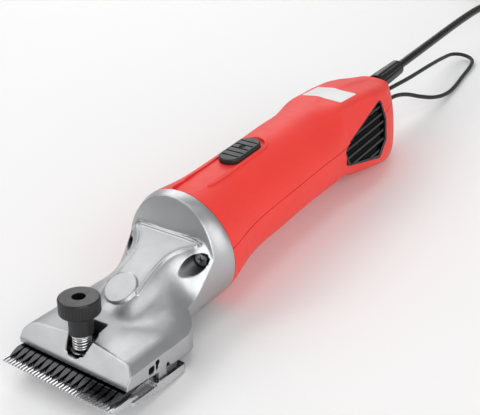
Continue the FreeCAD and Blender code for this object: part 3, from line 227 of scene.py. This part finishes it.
def scaled(colour, factor, lift=0.0):
    return [min(1.0, part * factor + lift) for part in colour]


def metal(name, colour, rough, stretch=(1, 1, 1), scale=900.0, lines=0.00001):
    """Machined metal: a fine grain along one direction, patches of gloss and painted shade in the
    recesses.
    """
    look = Look(name, colour, rough, 1.0)
    grain = look.noise(scale, 4.0, stretch)
    look.roughen(grain, rough - 0.08, rough + 0.08)
    look.clouds(60.0, scaled(colour, 0.72), start=0.35, full=0.75, share=0.5)
    # painted shade: the colour darkened to a third within 3 mm of a recess
    look.paint_recess_shade(0.003, scaled(colour, 0.35), full=0.35, clear=0.9, share=0.6)
    look.rub(0.0003, scaled(colour, 1.25), share=0.5)
    return look.bump(grain, lines).done()


def moulded(name, colour, rough, grain=2600.0, height=0.00002, **sockets):
    """Moulded plastic: a fine spark-eroded grain, slight changes of tone and painted shade in the
    recesses.
    """
    look = Look(name, colour, rough, 0.0, **sockets)
    fine = look.noise(grain, 2.0)
    look.roughen(look.noise(180.0, 4.0), rough - 0.05, rough + 0.07)
    look.clouds(28.0, scaled(colour, 0.86), start=0.35, full=0.75, share=0.35)
    # painted shade: the colour darkened to half within 2 mm of a recess
    look.paint_recess_shade(0.002, scaled(colour, 0.5), full=0.3, clear=0.85, share=0.5)
    look.rub(0.0004, scaled(colour, 1.2, 0.01), share=0.3)
    return look.bump(fine, height)


def plastic(name, colour, rough, grain=2600.0, height=0.00002, **sockets):
    return moulded(name, colour, rough, grain, height, **sockets).done()


def die_cast():
    """Bare aluminium casting: a sandy grain over soft waves, with painted shade where it is hollow."""
    look = Look("die_cast", (0.50, 0.505, 0.515), 0.38, 0.92)
    grain = look.noise(3200.0, 3.0)
    look.roughen(look.noise(240.0, 4.0), 0.31, 0.42)
    look.clouds(45.0, (0.44, 0.445, 0.455), start=0.35, full=0.7, share=0.5, detail=4.0)
    # painted shade: near black in the hollows, reaching 16 mm from their walls
    look.paint_recess_shade(0.016, (0.07, 0.07, 0.075), full=0.25, clear=0.97, share=0.85)
    look.rub(0.0006, (0.78, 0.78, 0.79), share=0.5)
    return look.bump(grain, 0.00004).bump(look.noise(260.0, 2.0), 0.00005).done()


def coral():
    """The body's red plastic, with the faint waves of a moulding."""
    look = moulded("coral_plastic", (0.88, 0.054, 0.043), 0.46, 3000.0, 0.000025,
                   Specular_IOR_Level=0.28, Subsurface_Weight=0.04, Subsurface_Scale=0.001)
    return look.bump(look.noise(90.0, 2.0), 0.00005).done()


def cord_sheath():
    look = Look("cord_rubber", (0.004, 0.004, 0.0045), 0.26, 0.0, Specular_IOR_Level=0.38)
    look.roughen(look.noise(400.0, 3.0), 0.20, 0.32)
    look.clouds(120.0, (0.012, 0.012, 0.012), start=0.5, full=0.8, share=0.5)
    return look.bump(look.noise(900.0, 2.0), 0.00003).done()


def loop_sheath():
    look = Look("loop_rubber", (0.028, 0.028, 0.030), 0.5, Specular_IOR_Level=0.3)
    weave = look.stripes(420.0, "Y", 6.0)
    look.roughen(weave, 0.42, 0.58)
    look.tint(look.span(weave, 0.2, 0.8, 0.0, 0.6), (0.012, 0.012, 0.013))
    return look.bump(weave, 0.00006).done()


def label():
    look = Look("label_white", (0.80, 0.80, 0.79), 0.38)
    look.roughen(look.noise(300.0), 0.30, 0.46)
    look.clouds(70.0, (0.70, 0.70, 0.69), start=0.45, full=0.8, share=0.5, detail=4.0)
    # painted shade: grey within 1.5 mm of a recess
    look.paint_recess_shade(0.0015, (0.42, 0.40, 0.39), full=0.3, clear=0.9, share=0.5)
    return look.bump(look.noise(1500.0), 0.000015).done()


def windings():
    look = Look("copper", (0.62, 0.22, 0.09), 0.28, 0.95)
    wires = look.stripes(700.0, "Z", 1.5)
    look.roughen(wires, 0.22, 0.36)
    look.tint(look.span(wires, 0.0, 0.45, 0.8, 0.0), (0.20, 0.05, 0.02))
    return look.bump(wires, 0.0002).done()


def laminations():
    look = Look("laminations", (0.30, 0.31, 0.33), 0.42, 0.9)
    sheets = look.stripes(320.0, "Y")
    look.roughen(sheets, 0.34, 0.5)
    look.tint(look.span(sheets, 0.0, 0.4, 0.8, 0.0), (0.10, 0.10, 0.11))
    return look.bump(sheets, 0.0001).done()


# Near-black filter foam behind the vents' louvres: a filter piece, and partly painted shade, its black
# standing in for the shade inside the vents.
def foam():
    look = Look("filter_foam", (0.012, 0.012, 0.013), 0.9)
    pores = look.noise(1400.0, 2.0)
    look.roughen(pores, 0.8, 1.0)
    look.tint(look.span(pores, 0.45, 0.7, 0.0, 0.7), (0.004, 0.004, 0.004))
    return look.bump(pores, 0.0004).done()


# Metals: colour, roughness, the grain's direction and fineness, and its depth in metres.
ANY_WAY, ALONG_X, ALONG_Y = (1, 1, 1), (0.05, 1.0, 1.0), (1.0, 0.05, 1.0)
METALS = {
    "comb_steel": ((0.70, 0.70, 0.71), 0.24, ALONG_X, 1200.0, 0.000006),
    # the cutter's steel is near black: painted shade, the dark of its deep teeth and gaps put into the
    # steel's colour
    "cutter_steel": ((0.085, 0.085, 0.09), 0.22, ALONG_X, 1200.0, 0.000004),
    "bright_steel": ((0.72, 0.72, 0.72), 0.20, ANY_WAY, 1500.0),
    "plain_steel": ((0.46, 0.46, 0.47), 0.32, ALONG_Y, 1800.0),
    "gear_steel": ((0.40, 0.39, 0.38), 0.30, ALONG_Y, 1800.0),
    "brass": ((0.72, 0.50, 0.20), 0.28, ALONG_Y, 1600.0),
}
# Plastics: colour, roughness, and the grain's fineness and depth.
PLASTICS = {
    "knob_plastic": ((0.008, 0.008, 0.009), 0.36, 2200.0, 0.00004),
    "black_plastic": ((0.005, 0.005, 0.006), 0.22, 2600.0, 0.00001),
    "nylon": ((0.55, 0.53, 0.48), 0.42, 1800.0),
    "dark_nylon": ((0.030, 0.030, 0.032), 0.44, 2000.0),
    "carbon": ((0.020, 0.020, 0.022), 0.55, 4000.0, 0.00003),
    "core_brown": ((0.16, 0.06, 0.03), 0.35, 2000.0),
}
looks = {
    "die_cast": die_cast(),
    "coral_plastic": coral(),
    "slider_plastic": plastic("slider_plastic", (0.020, 0.021, 0.023), 0.40, 2400.0, 0.00003,
                              Specular_IOR_Level=0.35),
    "filter_foam": foam(),
    "label_white": label(),
    "cord_rubber": cord_sheath(),
    "loop_rubber": loop_sheath(),
    "copper": windings(),
    "laminations": laminations(),
}
for slot_name, recipe in METALS.items():
    looks[slot_name] = metal(slot_name, *recipe)
for slot_name, recipe in PLASTICS.items():
    looks[slot_name] = plastic(slot_name, *recipe)


def wear(obj, slot):
    obj.data.materials.clear()
    obj.data.materials.append(looks[slot])


for row in frame["record"]["subparts"]:
    wear(frame["nodes"][row["node"]], row["material_slot"])


# ---------------------------------------------------------------- pieces made here
def finished(obj):
    """obj with its modifiers applied, as a plain mesh."""
    graph = bpy.context.evaluated_depsgraph_get()
    mesh = bpy.data.meshes.new_from_object(obj.evaluated_get(graph))
    name = obj.name
    bpy.data.objects.remove(obj)
    return add(name, mesh)


def tube(name, points, radius, steps, sides):
    """A round tube along one smooth spline with these control points, its ends closed."""
    curve = bpy.data.curves.new(name, "CURVE")
    curve.dimensions = "3D"
    spline = curve.splines.new("NURBS")
    spline.points.add(len(points) - 1)
    for knot, point in zip(spline.points, points):
        knot.co = (*point, 1)
    spline.order_u = 3
    spline.use_endpoint_u = True
    spline.resolution_u = steps
    curve.bevel_depth = radius
    curve.bevel_resolution = sides
    curve.use_fill_caps = True
    return add(name, curve)


ABOVE_ALL = 150                       # mm; higher than any piece
DOWN = Vector((0, 0, -1))
LIP_STEPS, LIP_SIDES = 6, 4           # how finely a lip's mesh follows its spline


def bead(route, radius, surface):
    """A raised line on top of a CAD node, through these (x, y) points, as a mesh."""
    points = []
    for x, y in route:
        found, place, _, _ = surface.ray_cast(at(x, y, ABOVE_ALL), DOWN)
        if found:
            points.append(place)
    obj = finished(tube("bead", points, radius, LIP_STEPS, LIP_SIDES))
    mesh = obj.data
    bpy.data.objects.remove(obj)
    return mesh


SPINE_HALF, SPINE_SPREAD = 10.4, 11.6  # half width of the head's spine, and what the crown end adds
SPINE_FRONT, SPINE_NECK, SPINE_BACK = 58.6, 74.0, 97.3  # its ends, and where it starts to spread
RIM_HALF, RIM_Y = 24.3, 98.9          # the lip across its back, under the crown
EDGE_LIP_R, RIM_LIP_R = 1.0, 1.1      # the lips' own radii
LIP_POINTS = 12                       # how many steps each lip is traced in


def spine_edge(side):
    """One edge of the spine: straight, then spreading ever faster towards the crown."""
    points = []
    for i in range(LIP_POINTS + 1):
        y = SPINE_BACK + (SPINE_FRONT - SPINE_BACK) * i / LIP_POINTS
        share = max(y - SPINE_NECK, 0) / (SPINE_BACK - SPINE_NECK)
        points.append((side * (SPINE_HALF + SPINE_SPREAD * share ** 3), y))
    return points


def spine_rim():
    """Straight across the back of the spine."""
    return [(RIM_HALF * (2 * i / LIP_POINTS - 1), RIM_Y) for i in range(LIP_POINTS + 1)]


def head_beads():
    """The lips along the spine of the casting, which the smooth loft leaves out."""
    casting = frame["nodes"]["head_housing"]
    edges = [bead(spine_edge(side), EDGE_LIP_R * MM, casting) for side in (1, -1)]
    return [bead(spine_rim(), RIM_LIP_R * MM, casting)] + edges


CAST_VOXEL = 0.45                     # mm; how sharp an edge the casting can have
CAST_PASSES, CAST_PULL = 4, 0.5       # smoothing passes, and how far each goes
CAST_FACES = 180000                   # most triangles


def cast_head():
    """A copy of the head whose sharp edges are rounded, as a casting's are, with its lips."""
    merged = bmesh.new()
    merged.from_mesh(frame["nodes"]["head_housing"].data)
    for lip in head_beads():
        merged.from_mesh(lip)
    mesh = bpy.data.meshes.new("cast_head")
    merged.to_mesh(mesh)
    merged.free()
    obj = add("cast_head", mesh)
    remesh = obj.modifiers.new("remesh", "REMESH")
    remesh.mode = "VOXEL"
    remesh.voxel_size = CAST_VOXEL * MM
    smooth = obj.modifiers.new("smooth", "SMOOTH")
    smooth.factor = CAST_PULL
    smooth.iterations = CAST_PASSES
    obj = finished(obj)
    triangles = 2 * len(obj.data.polygons)
    if triangles > CAST_FACES:
        thin = obj.modifiers.new("thin", "DECIMATE")
        thin.ratio = CAST_FACES / triangles
        obj = finished(obj)
    obj.data.shade_smooth()
    wear(obj, "die_cast")
    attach(obj, "body")
    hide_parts("head_housing")


cast_head()


# ---------------------------------------------------------------- cord, loop and spring
def on_body(obj, slot):
    obj.data.materials.append(looks[slot])
    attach(obj, "body")
    return obj


CORD_R = 3.25
CORD_ROUTE = ((0, 384, 47.5), (0, 424, 47.4), (0, 520, 47.2), (1, 566, 44), (9, 608, 28), (30, 648, 9),
              (45.7, 682, 4.3))
TAIL_ROUTE = ((-45.7, 693.8, 25.6), (-33.3, 672.7, 29), (-14.9, 662, 30.7), (3.4, 662, 30.7),
              (19.1, 671.2, 31.2), (28.3, 687, 32.6), (28.3, 706, 34.2))
LOOP_R = 1.65
LOOP_ROUTE = ((0, 346, 37.0), (0, 376, 33.6), (-0.8, 406, 29.4), (-3.2, 440, 25.0), (-7.6, 474, 18.6),
              (-12, 503, 12.0), (-14, 524, 7.2), (-5.0, 531, 5.0), (5.5, 527, 2.8), (9, 509, 2.0),
              (11, 488, 1.75), (14, 468, 1.75), (15.4, 447, 2.2), (13, 427, 6), (7.4, 410, 12.6),
              (1.8, 394, 20.6), (0, 373, 26.2), (0, 342, 28.5))
CORD_STEPS, CORD_SIDES = 5, 5         # how finely a cord's mesh follows its spline
COIL_Y = 706.0
COIL_OUT, COIL_IN = 45.7, 25.9        # radii of the outermost and innermost turns
COIL_LAYERS = (4.3, 10.9, 17.5, 24.1)
COIL_END_Z = 24.3
LAYER_TURNS = (3, 3, 3, 2.5)
TURN_STEPS = 24
CLIMB_STEPS = 2                       # steps at each end of a layer, where the cord changes height


def coil_points():
    """The stored length, wound in and out in four layers, from the coil's right side."""
    points = []
    step = 0
    top = len(LAYER_TURNS) - 1
    for layer, turns in enumerate(LAYER_TURNS):
        count = int(turns * TURN_STEPS)
        start, end = (COIL_OUT, COIL_IN) if layer % 2 == 0 else (COIL_IN, COIL_OUT)
        first = CLIMB_STEPS if layer else 0
        last = count - (CLIMB_STEPS if layer < top else 0)
        for i in range(count):
            share = min(max((i - first) / (last - first), 0), 1)
            radius = start + (end - start) * share
            height = COIL_LAYERS[layer]
            if layer and i < first:
                height += (COIL_LAYERS[layer - 1] - height) * (0.5 - i / (2 * CLIMB_STEPS))
            if layer < top and i > last:
                height += (COIL_LAYERS[layer + 1] - height) * (i - last) / (2 * CLIMB_STEPS)
            angle = 2 * math.pi * step / TURN_STEPS
            points.append(at(radius * math.cos(angle), COIL_Y + radius * math.sin(angle), height))
            step += 1
    return points


route = [at(*p) for p in CORD_ROUTE] + coil_points() + [at(-COIL_OUT, COIL_Y, COIL_END_Z)]
route += [at(*p) for p in TAIL_ROUTE]
cord = on_body(tube("mains_cord", route, CORD_R * MM, CORD_STEPS, CORD_SIDES), "cord_rubber")
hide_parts("power_cord", "cord_coil", "cord_tail")

route = [at(*p) for p in LOOP_ROUTE]
loop = on_body(tube("hand_loop", route, LOOP_R * MM, CORD_STEPS, CORD_SIDES), "loop_rubber")
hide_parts("hang_loop")


SPRING_WIRE, SPRING_R, SPRING_TURNS = 0.62, 4.75, 5.5  # wire's radius, coil's mean radius, turns
SPRING_FOOT, SPRING_HEAD = 17.35, 26.25  # w of its ends, on the lower and under the upper washer
SPRING_STEPS = 26                     # points in a turn
END_CLOSING = 0.035                   # how much closer together the end turns are


def spring():
    """The tension spring, which the knob presses down on its upper washer."""
    count = int(SPRING_TURNS * SPRING_STEPS)
    climb = SPRING_HEAD - SPRING_FOOT - 2 * SPRING_WIRE
    points = []
    for i in range(count + 1):
        share = i / count
        eased = share - END_CLOSING * math.sin(2 * math.pi * share)
        angle = 2 * math.pi * i / SPRING_STEPS
        x, y = SPRING_R * math.cos(angle), STUD_Y + SPRING_R * math.sin(angle)
        points.append(on_blade(x, y, SPRING_FOOT + SPRING_WIRE + climb * eased))
    obj = finished(tube("knob_spring", points, SPRING_WIRE * MM, CORD_STEPS, CORD_SIDES))
    obj.data.shade_smooth()
    wear(obj, "bright_steel")
    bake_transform(obj)
    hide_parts("tension_spring")


spring()


# ---------------------------------------------------------------- floor and light
FLOOR_SIZE = 8.0
FLOOR_DROP = 0.0002                   # under the part, so that their faces don't coincide
# Soft boxes: name, place, the point they face, width and power.
SOFTBOXES = (
    ("behind", (-0.75, 0.95, 0.75), (0, 0, 0.03), 0.9, 5.2),
    ("above", (-0.78, 0.00, 1.15), (0, -0.1, 0.03), 1.0, 3.8),
    ("left", (-0.80, -0.85, 0.95), (0, -0.1, 0.02), 0.6, 3.6),
    ("right", (1.15, -0.55, 0.50), (0, 0, 0.03), 1.3, 12.0),
    ("over", (0.10, 0.05, 1.30), (0, 0, 0), 0.5, 1.6),
)
SKY = 0.35                            # how bright the white sky is


def floor():
    bpy.ops.mesh.primitive_plane_add(size=FLOOR_SIZE, location=(0, 0, -FLOOR_DROP))
    plane = bpy.context.object
    plane.name = "floor"
    look = Look("floor", (0.95, 0.95, 0.95), 0.85)
    look.clouds(6.0, (0.93, 0.93, 0.93), start=0.3, full=0.8, share=0.2)
    plane.data.materials.append(look.done())


def softbox(name, place, aim, size, power):
    data = bpy.data.lights.new(name, "AREA")
    data.shape = "SQUARE"
    data.size = size
    data.energy = power
    light = add(name, data)
    light.location = place
    light.rotation_euler = (Vector(aim) - Vector(place)).to_track_quat("-Z", "Y").to_euler()


def sky():
    world = bpy.data.worlds.new("studio")
    scene.world = world
    world.use_nodes = True
    background = world.node_tree.nodes["Background"]
    background.inputs["Color"].default_value = (1, 1, 1, 1)
    background.inputs["Strength"].default_value = SKY


floor()
for box in SOFTBOXES:
    softbox(*box)
sky()
scene.view_settings.view_transform = "Standard"
